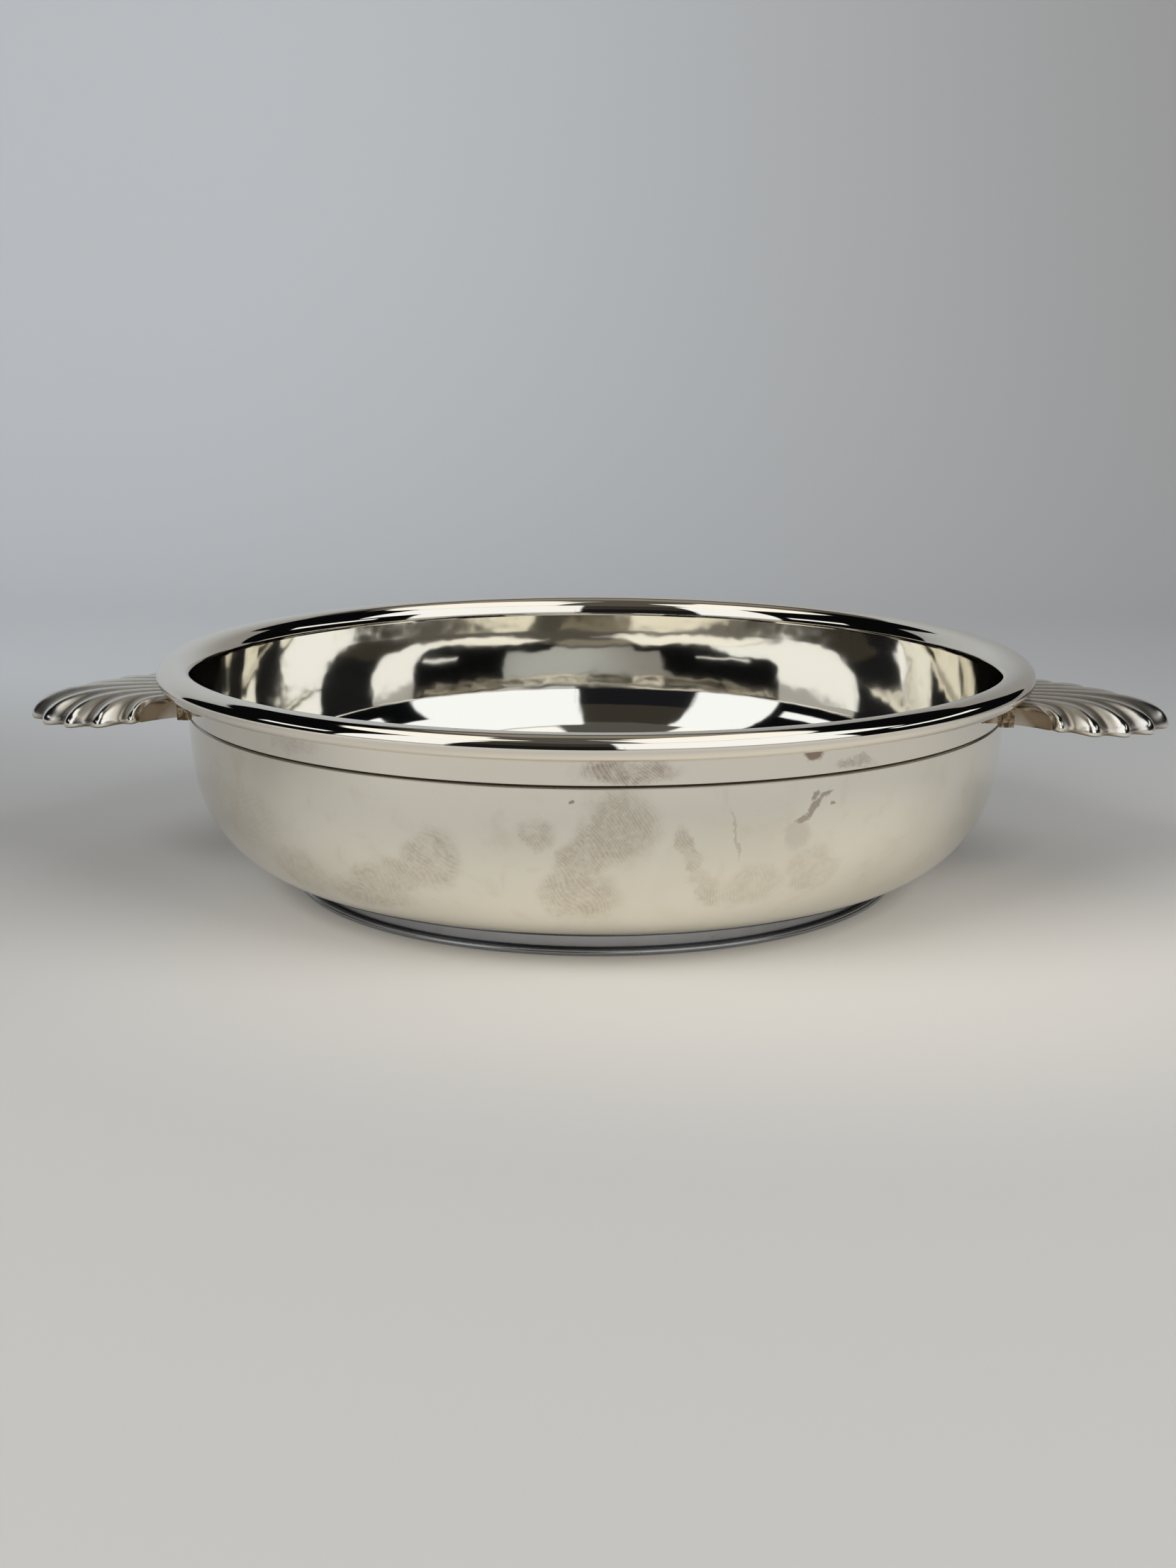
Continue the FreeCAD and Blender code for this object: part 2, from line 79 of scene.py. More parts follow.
# Shell handle
HANDLE_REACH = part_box("right_shell_handle")[1].x
FAN_CENTRE = BODY_RADIUS + 7 * MM
HANDLE_HALF_WIDTH = 26.7 * MM
ROOT_HALF_WIDTH = 22.3 * MM
ROOT_TOP = 45.5 * MM
ROOT_BOTTOM = 41.0 * MM
TIP_BOTTOM = 36.2 * MM
LIP_NOSE = 0.8 * MM
LIP_LAND = 0.7 * MM
ROOT_RELIEF = 0.4 * MM
LIP_RELIEF = 2.9 * MM
LOBE_REACH = 2.3 * MM
HOLLOW_DEPTH = 2.2 * MM

RIBS_EACH_SIDE = 4
EDGE_STATION = RIBS_EACH_SIDE + 1.5
LIP_STATIONS = (0, 1, 2, 3, 4, 5, EDGE_STATION)
LIP_X_SHARES = (1.0, 0.8, 0.56, 0.313, 0.085, 0.042, 0.01)
LIP_Y_SHARES = (0.0, 0.508, 0.827, 1.0, 0.977, 0.925, 0.872)
BEND_SHARES = (0.66, 0.95)
DOME_POWER = 3.0
RELIEF_POWER = 5.0

# Fineness of the meshes
TURN_STEPS = 320
ARC_STEP = math.radians(3)
ROWS_PER_RIB = 14
TOP_COLUMNS = 40
LIP_COLUMNS = 6
UNDER_COLUMNS = 22
SHARP_ANGLE = math.radians(32)


def linear(hex_colour):
    """An sRGB hex colour as linear red, green, blue and alpha."""
    parts = [int(hex_colour[i:i + 2], 16) / 255 for i in (1, 3, 5)]
    return [p / 12.92 if p <= 0.04045 else ((p + 0.055) / 1.055) ** 2.4 for p in parts] + [1.0]


def node(tree, kind, inputs=None, **settings):
    """Add a node with its settings. An input is a value, or the socket that feeds it."""
    made = tree.nodes.new(kind)
    for name, value in settings.items():
        setattr(made, name, value)
    for name, value in (inputs or {}).items():
        if isinstance(value, bpy.types.NodeSocket):
            tree.links.new(value, made.inputs[name])
        else:
            made.inputs[name].default_value = value
    return made


# Shapes

def finish_piece(bm, name, material, slot, *nodes):
    """Turn a bmesh into a piece that rides on the bowl and stands for its solids."""
    bmesh.ops.remove_doubles(bm, verts=bm.verts, dist=0.002 * MM)
    bmesh.ops.recalc_face_normals(bm, faces=bm.faces)
    for face in bm.faces:
        face.smooth = True
    for edge in bm.edges:
        edge.smooth = len(edge.link_faces) == 2 and edge.calc_face_angle() < SHARP_ANGLE
    mesh = bpy.data.meshes.new(name)
    bm.to_mesh(mesh)
    bm.free()
    piece = bpy.data.objects.new(name, mesh)
    bpy.context.scene.collection.objects.link(piece)
    mesh.materials.append(material)
    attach(piece, "root")
    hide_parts(*nodes)
    return piece


def trace(bm, start, moves):
    """Draw a section in the XZ plane from corner to corner. A move with a centre is an arc."""
    last = bm.verts.new((start[0], 0, start[1]))
    for place, centre in moves:
        if centre is None:
            following = bmesh.ops.extrude_vert_indiv(bm, verts=[last])["verts"][0]
            following.co = (place[0], 0, place[1])
        else:
            begin = math.atan2(last.co.z - centre[1], last.co.x - centre[0])
            close = math.atan2(place[1] - centre[1], place[0] - centre[0])
            sweep = math.remainder(close - begin, 2 * math.pi)
            steps = max(3, math.ceil(abs(sweep) / ARC_STEP))
            swung = bmesh.ops.spin(bm, geom=[last], cent=(centre[0], 0, centre[1]), axis=(0, 1, 0),
                                   angle=-sweep, steps=steps)["geom_last"]
            following = [item for item in swung if isinstance(item, bmesh.types.BMVert)][0]
        last = following


def turn(bm):
    """Spin a section once round the bowl's axis."""
    bmesh.ops.spin(bm, geom=bm.verts[:] + bm.edges[:], cent=(0, 0, 0), axis=(0, 0, 1),
                   angle=2 * math.pi, steps=TURN_STEPS, use_merge=True)


def bowl_body(material):
    """The spun shell: flat bottom, round corner, nearly upright wall, shoulder and neck."""
    shoulder = SEAM_HEIGHT - SEAM_RELIEF - SHOULDER_STEP
    level = shoulder - BASE_LIFT - CORNER_SWEEP
    wall = (BODY_RADIUS - WALL_SWEEP, shoulder)
    corner = (wall[0] + math.sqrt((WALL_SWEEP - CORNER_SWEEP) ** 2 - level ** 2), BASE_LIFT + CORNER_SWEEP)
    lean = (corner[0] - wall[0]) / (WALL_SWEEP - CORNER_SWEEP)
    fall = level / (WALL_SWEEP - CORNER_SWEEP)
    inner = WALL_SWEEP - SHELL_WALL
    neck = BODY_RADIUS - SHOULDER_STEP
    top = SEAT_HEIGHT - SEAT_GAP
    turn_in = SHOULDER_ROUND * math.tan(math.pi / 8)
    slope = turn_in * math.sqrt(0.5)
    bend = (BODY_RADIUS - SHOULDER_ROUND, shoulder - turn_in)
    # Inside, the wall is rubbed smooth past the neck, in one sweep.
    lip = wall[0] + math.sqrt(inner ** 2 - (top - shoulder) ** 2)
    bm = bmesh.new()
    inside = bm.verts.layers.float.new("inside")
    trace(bm, (lip, top), [
        ((wall[0] + lean * inner, wall[1] - fall * inner), wall),
        ((corner[0], BASE_LIFT + SHELL_WALL), corner),
        ((0, BASE_LIFT + SHELL_WALL), None),
    ])
    for vert in bm.verts:
        vert[inside] = 1
    trace(bm, (0, BASE_LIFT), [
        ((corner[0], BASE_LIFT), None),
        ((wall[0] + lean * WALL_SWEEP, wall[1] - fall * WALL_SWEEP), corner),
        ((BODY_RADIUS, bend[1]), wall),
        ((BODY_RADIUS - slope, shoulder + slope), bend),
        ((neck, shoulder + SHOULDER_STEP), None),
        ((neck, top), None),
        ((lip, top), None),
    ])
    turn(bm)
    return finish_piece(bm, "polished_bowl", material, "body_plate", "bowl_body")


def rim_collar(material):
    """The collar's band over the neck and the oval roll above it."""
    inside = BODY_RADIUS - SHOULDER_STEP - SHELL_WALL
    bore = BODY_RADIUS - SHOULDER_STEP + SEAT_GAP
    nose = (RIM_RADIUS - NOSE_RADIUS, ROLL_UNDERSIDE + NOSE_RADIUS)
    span = nose[0] - inside
    drop = RIM_HEIGHT - nose[1]
    half = span + drop - NOSE_RADIUS
    crown = half - math.sqrt(half ** 2 - span ** 2 - drop ** 2 + NOSE_RADIUS ** 2)
    top = (inside + crown, RIM_HEIGHT - crown)
    reach = crown / (crown - NOSE_RADIUS)
    touch = (top[0] + (nose[0] - top[0]) * reach, top[1] + (nose[1] - top[1]) * reach)
    cove = (BODY_RADIUS + COVE_RADIUS, ROLL_UNDERSIDE - COVE_RADIUS)
    bm = bmesh.new()
    trace(bm, (bore, SEAM_HEIGHT), [
        ((BODY_RADIUS - EDGE_ROUND, SEAM_HEIGHT), None),
        ((BODY_RADIUS, SEAM_HEIGHT + EDGE_ROUND), (BODY_RADIUS - EDGE_ROUND, SEAM_HEIGHT + EDGE_ROUND)),
        ((BODY_RADIUS, cove[1]), None),
        ((cove[0], ROLL_UNDERSIDE), cove),
        ((nose[0], ROLL_UNDERSIDE), None),
        (touch, nose),
        ((top[0], RIM_HEIGHT), top),
        ((inside, top[1]), top),
        ((inside, SEAT_HEIGHT), None),
        ((bore, SEAT_HEIGHT), None),
        ((bore, SEAM_HEIGHT), None),
    ])
    turn(bm)
    return finish_piece(bm, "rolled_rim", material, "rim_plate", "rim_collar")


def foot_ring(material):
    """The foot's low wall with its groove and the round bead at the table."""
    foot = FOOT_BEAD_RADIUS - BEAD_REACH
    bore = foot - FOOT_WALL
    bead = (FOOT_BEAD_RADIUS - BEAD_HEIGHT / 2, BEAD_HEIGHT / 2)
    groove_top = BEAD_HEIGHT + GROOVE_HEIGHT
    top = BASE_LIFT - SEAT_GAP
    bm = bmesh.new()
    trace(bm, (bore, 0), [
        ((bead[0], 0), None),
        ((bead[0] + BEAD_HEIGHT / 2, bead[1]), bead),
        ((bead[0], BEAD_HEIGHT), bead),
        ((foot - GROOVE_DEPTH, BEAD_HEIGHT), None),
        ((foot - GROOVE_DEPTH, groove_top), None),
        ((foot, groove_top), None),
        ((foot, top), None),
        ((bore, top), None),
        ((bore, 0), None),
    ])
    turn(bm)
    return finish_piece(bm, "turned_foot", material, "foot_plate", "foot_ring")


def lip_place(station):
    """The end of a rib in plan, on a smooth curve through the ribs' ends."""
    side = math.copysign(1, station)
    place = abs(station)
    index = min(int(place), len(LIP_STATIONS) - 2)
    ends = []
    for at in (index - 1, index, index + 1, index + 2):
        mirror = -1 if at < 0 else 1
        at = min(abs(at), len(LIP_STATIONS) - 1)
        ends.append((LIP_STATIONS[at] * mirror, LIP_X_SHARES[at], LIP_Y_SHARES[at] * mirror))
    span = ends[2][0] - ends[1][0]
    way = (place - ends[1][0]) / span
    values = []
    for axis in (1, 2):
        slope_in = (ends[2][axis] - ends[0][axis]) / max(ends[2][0] - ends[0][0], 1e-9) * span
        slope_out = (ends[3][axis] - ends[1][axis]) / max(ends[3][0] - ends[1][0], 1e-9) * span
        values.append(hermite(ends[1][axis], slope_in, ends[2][axis], slope_out, way))
    return Vector((FAN_CENTRE + (HANDLE_REACH - FAN_CENTRE) * values[0],
                   side * HANDLE_HALF_WIDTH * values[1], 0))


def hermite(start, slope_in, end, slope_out, way):
    """A cubic from start to end with the given slopes."""
    back = way - 1
    return (start * (1 + 2 * way) * back ** 2 + slope_in * way * back ** 2
            + end * way ** 2 * (3 - 2 * way) + slope_out * way ** 2 * back)


def rib_wave(station):
    """One on a rib's crest and zero in the middle of a flute."""
    return (1 + math.cos(2 * math.pi * station)) / 2


def ease(low, high, place):
    """Zero up to low, one from high on, and a smooth rise between them."""
    way = min(max((place - low) / (high - low), 0), 1)
    return way * way * (3 - 2 * way)


def rib_line(station):
    """A rib's plan line: straight out of the collar, then bending outwards to its end."""
    bore = BODY_RADIUS + SEAT_GAP
    across = ROOT_HALF_WIDTH * station / EDGE_STATION
    start = Vector((math.sqrt(bore ** 2 - across ** 2), across, 0))
    end = lip_place(station)
    bend_share = BEND_SHARES[0] + (BEND_SHARES[1] - BEND_SHARES[0]) * ease(0, RIBS_EACH_SIDE, abs(station))
    straight = ease(RIBS_EACH_SIDE, EDGE_STATION, abs(station))
    bend = start + Vector(((end.x - start.x) * bend_share, 0, 0))
    bend = bend.lerp((start + end) / 2, straight)
    outwards = (end - bend).normalized()
    end = end - outwards * (LOBE_REACH * (1 - rib_wave(station)))
    return start, bend, end


def underside(place):
    """Height of the casting's underside, which falls from the collar to the tip."""
    return ROOT_BOTTOM - (ROOT_BOTTOM - TIP_BOTTOM) * (place.x - BODY_RADIUS) / (HANDLE_REACH - BODY_RADIUS)


def shell_point(station, share):
    """A point of the casting's skin, how much tarnish lies there and how worn it is. The share
    runs from the collar over the top to one at the lip, then to two under it and to three back."""
    start, bend, end = rib_line(station)
    nose = underside(end) + LIP_NOSE
    wave = rib_wave(station)
    inwards = (bend - end).normalized()
    ear = ease(RIBS_EACH_SIDE + 0.3, RIBS_EACH_SIDE + 1, abs(station))
    if share <= 1:
        place = start * (1 - share) ** 2 + bend * (2 * share * (1 - share)) + end * share ** 2
        relief = ROOT_RELIEF + (LIP_RELIEF - ROOT_RELIEF) * share ** RELIEF_POWER
        rise = ROOT_TOP - nose - relief * (1 - wave)
        place.z = nose + rise * math.sqrt(1 - share ** DOME_POWER)
        return place, max((1 - wave) * (1 - 0.35 * share), ear), wave * (1 - ear) * ease(0.55, 0.95, share)
    if share <= 2:
        angle = (share - 1) * math.pi / 2
        place = end + inwards * (LIP_LAND * (1 - math.cos(angle)))
        edge = underside(place)
        place.z = edge + (nose - edge) * (1 - math.sin(angle))
        under = ease(0.1, 0.6, share - 1)
        return place, max(1 - wave, under, ear), wave * (1 - ear) * (1 - under)
    land = end + inwards * LIP_LAND
    way = share - 2
    place = land.lerp(start, way)
    along = ease(0, 0.3, way) * (1 - ease(0.72, 0.92, way))
    hollow = along * (1 - ease(0.62, 0.86, abs(station) / EDGE_STATION))
    place.z = underside(place) + HOLLOW_DEPTH * hollow
    return place, 0.75 + 0.25 * hollow, 0


def shell_handle(side, material):
    """One cast scallop shell: ribs and flutes above, a rounded lip, a hollow beneath."""
    columns = TOP_COLUMNS + LIP_COLUMNS + UNDER_COLUMNS
    rows = int(2 * EDGE_STATION * ROWS_PER_RIB)
    bm = bmesh.new()
    bmesh.ops.create_grid(bm, x_segments=rows, y_segments=columns, size=1)
    tarnish = bm.verts.layers.float.new("tarnish")
    polish = bm.verts.layers.float.new("polish")
    root = [edge for edge in bm.edges if abs(edge.verts[0].co.y + edge.verts[1].co.y) > 2 - 1 / columns]
    for vert in bm.verts:
        station = vert.co.x * EDGE_STATION
        column = round((vert.co.y + 1) / 2 * columns)
        if column <= TOP_COLUMNS:
            share = math.sin(column / TOP_COLUMNS * math.pi / 2) ** 0.9
        elif column <= TOP_COLUMNS + LIP_COLUMNS:
            share = 1 + (column - TOP_COLUMNS) / LIP_COLUMNS
        else:
            share = 2 + (column - TOP_COLUMNS - LIP_COLUMNS) / UNDER_COLUMNS
        vert.co, vert[tarnish], vert[polish] = shell_point(station, min(share, 3))
    # Close the face at the collar, then the flat ends of both ears.
    bmesh.ops.bridge_loops(bm, edges=root)
    bmesh.ops.holes_fill(bm, edges=bm.edges[:], sides=0)
    if side < 0:
        bmesh.ops.rotate(bm, verts=bm.verts, cent=(0, 0, 0), matrix=Matrix.Rotation(math.pi, 3, "Z"))
    name = "right" if side > 0 else "left"
    return finish_piece(bm, f"{name}_cast_shell", material, "handle_plate", f"{name}_shell_handle")


# Materials

# A mark reaches this far in depth, so that it stays on its own side of the bowl.
MARK_DEPTH = 24 * MM
RIDGE_SPACING = 0.45 * MM


def cloud_cover(tree, place, size_mm, low, high, amount):
    """Soft irregular patches of about the given size."""
    cloud = node(tree, "ShaderNodeTexNoise", {
        "Vector": place, "Scale": 1 / (size_mm * MM), "Detail": 4.0, "Roughness": 0.6, "Distortion": 0.6})
    return node(tree, "ShaderNodeMapRange", {
        "Value": cloud.outputs["Fac"], "From Min": low, "From Max": high, "To Min": 0.0, "To Max": amount},
        interpolation_type="SMOOTHSTEP").outputs["Result"]


def mark_cover(tree, place, marks, ragged_mm, ridges):
    """Marks of handling, each a place, half its length, half its height, its turn in degrees and
    its strength. Their borders are ragged at a size, and fine ridges may run through them."""
    ragged = node(tree, "ShaderNodeTexNoise", {
        "Vector": place, "Scale": 1 / (ragged_mm * MM), "Detail": 5.0, "Roughness": 0.65})
    shift = node(tree, "ShaderNodeVectorMath", {
        0: ragged.outputs["Color"], 1: (0.5, 0.5, 0.5)}, operation="SUBTRACT").outputs[0]
    shift = node(tree, "ShaderNodeVectorMath", {
        0: shift, "Scale": 1.4 * ragged_mm * MM}, operation="SCALE").outputs[0]
    moved = node(tree, "ShaderNodeVectorMath", {0: place, 1: shift}, operation="ADD").outputs[0]
    cover = 0.0
    for centre, half_length, half_height, turned, strength in marks:
        local = node(tree, "ShaderNodeMapping", {
            "Vector": moved, "Location": [c * MM for c in centre],
            "Rotation": (0, math.radians(-turned), 0),
            "Scale": (half_length * MM, MARK_DEPTH, half_height * MM)}, vector_type="TEXTURE").outputs[0]
        away = node(tree, "ShaderNodeVectorMath", {0: local}, operation="LENGTH").outputs["Value"]
        spot = node(tree, "ShaderNodeMapRange", {
            "Value": away, "From Min": 1.15, "From Max": 0.6, "To Min": 0.0, "To Max": strength},
            interpolation_type="SMOOTHSTEP").outputs["Result"]
        cover = node(tree, "ShaderNodeMath", {0: cover, 1: spot}, operation="MAXIMUM").outputs[0]
    if not ridges:
        return cover
    # The print's ridges wander over about a centimetre.
    ridge = node(tree, "ShaderNodeTexWave", {
        "Vector": place, "Scale": 2 * math.pi / (20 * RIDGE_SPACING), "Distortion": 38.0, "Detail": 1.0,
        "Detail Scale": 0.11}, bands_direction="DIAGONAL")
    # They show in patches only, and the grease between has dried in specks.
    speck = node(tree, "ShaderNodeTexNoise", {
        "Vector": place, "Scale": 1 / (1.3 * MM), "Detail": 3.0, "Roughness": 0.7})
    patterns = ((ridge, 0.2, 0.8, 0.7), (ragged, 0.36, 0.56, 0.4), (speck, 0.36, 0.56, 0.55))
    for pattern, low, high, least in patterns:
        share = node(tree, "ShaderNodeMapRange", {
            "Value": pattern.outputs["Fac"], "From Min": low, "From Max": high,
            "To Min": least, "To Max": 1.0}).outputs[0]
        cover = node(tree, "ShaderNodeMath", {0: cover, 1: share}, operation="MULTIPLY").outputs[0]
    return cover


def band_cover(tree, place, low, high, fade, amount):
    """A level band between two heights, in millimetres."""
    middle = (low + high) / 2 * MM
    height = node(tree, "ShaderNodeSeparateXYZ", {0: place}).outputs["Z"]
    gap = node(tree, "ShaderNodeMath", {0: height, 1: middle}, operation="SUBTRACT").outputs[0]
    gap = node(tree, "ShaderNodeMath", {0: gap}, operation="ABSOLUTE").outputs[0]
    return node(tree, "ShaderNodeMapRange", {
        "Value": gap, "From Min": ((high - low) / 2 + fade) * MM, "From Max": (high - low) / 2 * MM,
        "To Min": 0.0, "To Max": amount}).outputs["Result"]


def painted_cover(tree, place, name, low, high, amount):
    """The piece's own attribute, from one level to another."""
    painted = node(tree, "ShaderNodeAttribute", attribute_name=name).outputs["Fac"]
    return node(tree, "ShaderNodeMapRange", {
        "Value": painted, "From Min": low, "From Max": high,
        "To Min": 0.0, "To Max": amount}).outputs["Result"]


def metal(name, colour, roughness, films, waves=None):
    """A metal under films, each a cover with its settings, then the film's colour and roughness.
    Waves are the size, the depth and the attribute that says where the sheet is uneven."""
    material = bpy.data.materials.new(name)
    material.use_nodes = True
    tree = material.node_tree
    tree.nodes.clear()
    place = node(tree, "ShaderNodeTexCoord").outputs["Object"]
    tone = linear(colour)
    dull = roughness
    for cover, settings, film_colour, film_roughness in films:
        share = cover(tree, place, *settings)
        tone = node(tree, "ShaderNodeMix", {
            "Factor": share, 6: tone, 7: linear(film_colour)}, data_type="RGBA").outputs[2]
        dull = node(tree, "ShaderNodeMix", {
            "Factor": share, 2: dull, 3: film_roughness}, data_type="FLOAT").outputs[0]
    shader = node(tree, "ShaderNodeBsdfPrincipled", {
        "Base Color": tone, "Metallic": 1.0, "Roughness": dull})
    if waves:
        size_mm, depth_mm, attribute = waves
        uneven = node(tree, "ShaderNodeTexNoise", {
            "Vector": place, "Scale": 1 / (size_mm * MM), "Detail": 2.0, "Roughness": 0.45})
        there = node(tree, "ShaderNodeAttribute", attribute_name=attribute).outputs["Fac"]
        bump = node(tree, "ShaderNodeBump", {
            "Height": uneven.outputs["Fac"], "Strength": there, "Distance": depth_mm * MM})
        tree.links.new(bump.outputs[0], shader.inputs["Normal"])
    node(tree, "ShaderNodeOutputMaterial", {"Surface": shader.outputs[0]})
    return material


# Marks of handling on the body: prints, smears and a dried drip
BODY_PRINTS = (
    ((7.7, -97.5, 34.5), 8.5, 8.5, 0, 0.6),
    ((1.1, -97.3, 28.5), 8.0, 5.0, 35, 0.6),
    ((-0.5, -94.6, 19.5), 8.8, 6.5, 0, 0.55),
    ((-9.3, -97.1, 33.0), 4.6, 3.6, -20, 0.5),
    ((-30.3, -91.8, 26.0), 6.5, 7.5, 0, 0.55),
    ((-40.0, -86.0, 20.5), 10.5, 4.5, 15, 0.5),
    ((-45.0, -80.5, 15.0), 11.0, 4.0, 0, 0.5),
    ((21.0, -94.7, 29.0), 2.4, 5.5, 15, 0.55),
    ((24.5, -91.0, 20.5), 2.6, 6.0, 35, 0.45),
    ((34.0, -88.5, 20.5), 8.0, 5.0, 15, 0.34),
    ((47.0, -83.0, 22.5), 6.0, 6.0, 0, 0.36),
    ((-73.0, -63.0, 27.0), 10.0, 8.0, -20, 0.2),
    ((-61.0, -71.0, 17.0), 9.0, 6.0, -35, 0.34),
    ((60.0, 75.0, 25.0), 14.0, 8.0, 20, 0.35),
    ((-30.0, 92.0, 22.0), 12.0, 7.0, 0, 0.35),
)
BODY_DRIPS = (
    ((46.6, -86.0, 38.6), 0.6, 1.3, -25, 0.8),
    ((49.0, -84.6, 38.7), 1.5, 0.6, 35, 0.8),
    ((46.6, -86.0, 36.4), 3.2, 0.75, 52, 0.8),
    ((44.0, -87.2, 33.9), 1.7, 0.9, 20, 0.75),
    ((50.6, -83.7, 36.6), 0.6, 0.5, 0, 0.8),
    ((43.2, -87.3, 30.6), 3.0, 3.4, 0, 0.25),
    ((30.5, -92.5, 31.7), 0.4, 6.0, 10, 0.35),
    ((-2.0, -97.8, 39.6), 0.5, 0.4, 0, 0.9),
)
RIM_PRINTS = (
    ((8.8, -97.6, 45.6), 11.0, 2.8, 0, 0.7),
    ((55.0, -81.1, 45.0), 5.0, 1.5, -8, 0.5),
    ((-60.0, -77.0, 46.0), 6.0, 2.0, 0, 0.25),
    ((50.0, 84.0, 46.0), 9.0, 2.5, 0, 0.4),
)
RIM_DRIPS = (
    ((46.2, -86.4, 47.3), 2.4, 1.3, 0, 0.9),
)


def emission(name, colour, strength, soft=0.25):
    """A glowing surface for the studio's panels, which fades out towards a panel's border."""
    material = bpy.data.materials.new(name)
    material.use_nodes = True
    tree = material.node_tree
    tree.nodes.clear()
    glow = node(tree, "ShaderNodeEmission", {"Color": linear(colour), "Strength": strength})
    clear = node(tree, "ShaderNodeBsdfTransparent")
    inner = node(tree, "ShaderNodeAttribute", attribute_name="inner").outputs["Fac"]
    solid = node(tree, "ShaderNodeMapRange", {
        "Value": inner, "From Min": 0.0, "From Max": soft, "To Min": 0.0, "To Max": 1.0},
        interpolation_type="SMOOTHSTEP").outputs["Result"]
    mix = node(tree, "ShaderNodeMixShader", {0: solid, 1: clear.outputs[0], 2: glow.outputs[0]})
    node(tree, "ShaderNodeOutputMaterial", {"Surface": mix.outputs[0]})
    return material


# Studio

CARD_DISTANCE = 1.2
CARD_SEGMENTS = 24
LAMP_SIZE = 1.2

# What the cards glow with: a colour, its strength and how soft their borders are
GLOWS = {
    "daylight_window": ("#F8FBFF", 1.12),
    "overhead_diffuser": ("#FFFEFA", 1.1),
    "unlit_room": ("#08090B", 1.0),
    "unlit_room_near": ("#191A1D", 1.0),
    "unlit_room_upper": ("#38352F", 1.0),
    "pale_ceiling": ("#8B867C", 1.0, 0.6),
    "grey_ceiling": ("#55534F", 1.0),
}
# Each card's azimuths and elevations in degrees, its glow and its share of the usual distance.
# Nearer cards cover those behind them.
CARDS = (
    ("ceiling_left", (-150, 20), (52, 90), "grey_ceiling", 1.03),
    ("ceiling_back", (130, 230), (46, 88), "grey_ceiling", 1.03),
    ("camera_side", (-34, 9), (2, 32), "unlit_room_near", 1),
    ("camera_side_high", (-34, 9), (26, 56), "unlit_room_upper", 1.01),
    ("ceiling_back_pale", (145, 215), (54, 76), "pale_ceiling", 1.02),
    ("left_window", (-63, -32), (9, 57), "daylight_window", 1),
    ("right_window", (6, 66), (10, 60), "daylight_window", 1),
    ("left_dark", (-122, -61), (2, 62), "unlit_room", 1),
    ("left_dark_high", (-150, -118), (34, 60), "unlit_room", 1),
    ("left_strip", (-90, -66), (20, 28), "daylight_window", 0.97),
    ("right_dark", (65, 140), (2, 62), "unlit_room", 1),
    ("right_dark_high", (138, 158), (34, 58), "unlit_room", 1),
    ("right_strip", (80, 118), (23, 30), "daylight_window", 0.97),
    ("right_window_high", (64, 92), (34, 61), "daylight_window", 0.97),
    ("left_overhead", (-124, -38), (55, 77), "overhead_diffuser", 0.94),
    ("right_overhead", (20, 150), (60, 86), "overhead_diffuser", 0.94),
)


def stage_mesh(bm, name, material):
    """Turn a bmesh into a part of the studio."""
    mesh = bpy.data.meshes.new(name)
    bm.to_mesh(mesh)
    bm.free()
    mesh.materials.append(material)
    thing = bpy.data.objects.new(name, mesh)
    bpy.context.scene.collection.objects.link(thing)
    return thing


def card(name, azimuths, elevations, material, distance):
    """A curved card round the bowl that shows only in reflections. Azimuth 0 is towards the
    camera, 90 to the right; the angles are seen from the bowl, in degrees."""
    bm = bmesh.new()
    bmesh.ops.create_grid(bm, x_segments=CARD_SEGMENTS, y_segments=CARD_SEGMENTS, size=1)
    inner = bm.verts.layers.float.new("inner")
    for vert in bm.verts:
        # How far a place lies inside the border, in tenths of a radian
        reach = (min(1 - abs(vert.co.x), 1) * abs(azimuths[1] - azimuths[0]) / 2,
                 min(1 - abs(vert.co.y), 1) * abs(elevations[1] - elevations[0]) / 2)
        vert[inner] = math.radians(min(reach)) * 10
        azimuth = math.radians(azimuths[0] + (azimuths[1] - azimuths[0]) * (vert.co.x + 1) / 2)
        elevation = math.radians(elevations[0] + (elevations[1] - elevations[0]) * (vert.co.y + 1) / 2)
        level = distance * math.cos(elevation)
        vert.co = (level * math.sin(azimuth), -level * math.cos(azimuth), distance * math.sin(elevation))
    thing = stage_mesh(bm, name, material)
    thing.visible_camera = False
    thing.visible_diffuse = False
    thing.visible_shadow = False
    thing.visible_transmission = False


FLOOR_HALF_WIDTH = 3.0
FLOOR_DEPTH = 2.5
SWEEP_START = 0.45
SWEEP_RADIUS = 0.6
BACKDROP_HEIGHT = 2.5

# Tones of the paper, and how they lie on the table: a painted pool of light in front of the bowl, painted
# shade behind it and a painted shadow to its left
PAINTED_LIGHT_PAPER = "#D7D3CB"
FRONT_PAPER = "#BEBCB8"
BACK_PAPER_LEFT = "#BBBFC2"
BACK_PAPER_RIGHT = "#959493"
PAINTED_SHADOW_PAPER = "#7A7A79"
PAINTED_LIGHT_CENTRE = (0.04, -0.07, 0)
PAINTED_LIGHT_REACH = (0.17, 0.11, 1)
PAINTED_SHADOW_CENTRE = (-0.31, 0.03, 0)
PAINTED_SHADOW_EDGES = (0.27, 0.08)
BACK_STARTS = (-0.08, 0.3)
BACK_SIDES = (-0.3, 0.6)


